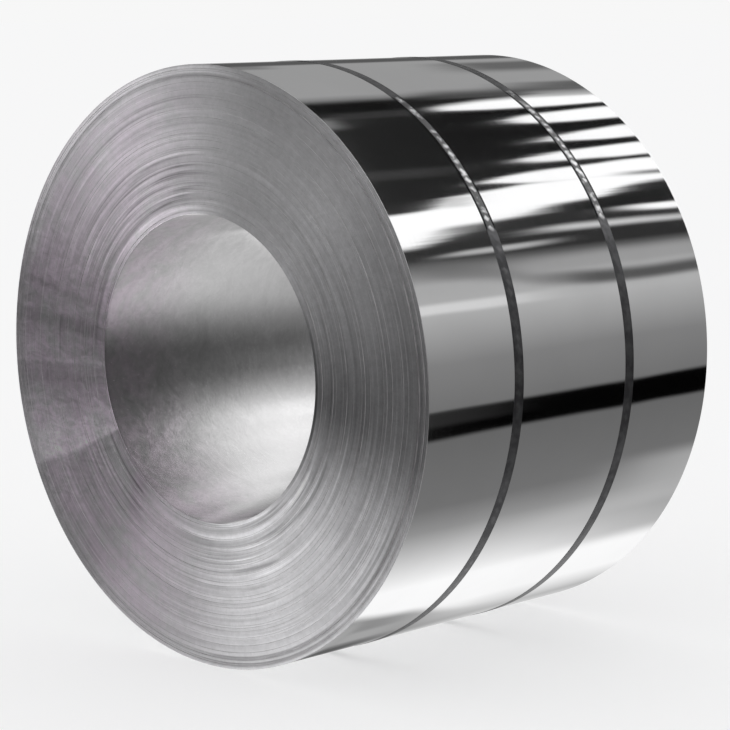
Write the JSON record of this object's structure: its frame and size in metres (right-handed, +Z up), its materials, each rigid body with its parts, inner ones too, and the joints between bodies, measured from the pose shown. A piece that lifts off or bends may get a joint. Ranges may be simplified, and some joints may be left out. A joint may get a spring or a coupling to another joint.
{
  "type": "steel coil",
  "caption": "Roll of bright steel strip wound round an open bore, lying on its side, held by flat steel straps.",
  "frame": {"origin": "on the floor under the middle of the coil, at the centre of the bounding box's bottom", "axes": "+Z up; +Y along the coil's axis, from its front end to its back end; +X to the right of someone who faces the front end"},
  "size_m": [1.19, 0.835, 1.19],
  "materials": {
    "coil_steel": "mirror-bright rolled outer turn, finely ridged slit edges on the ends, hazy brushed bore",
    "strap_steel": "dark grey blued strap, embossed with slanting lozenges, satin"
  },
  "bodies": {
    "root": {"coil": "coil_steel", "strap_front": "strap_steel", "strap_back": "strap_steel"}
  },
  "joints": []
}
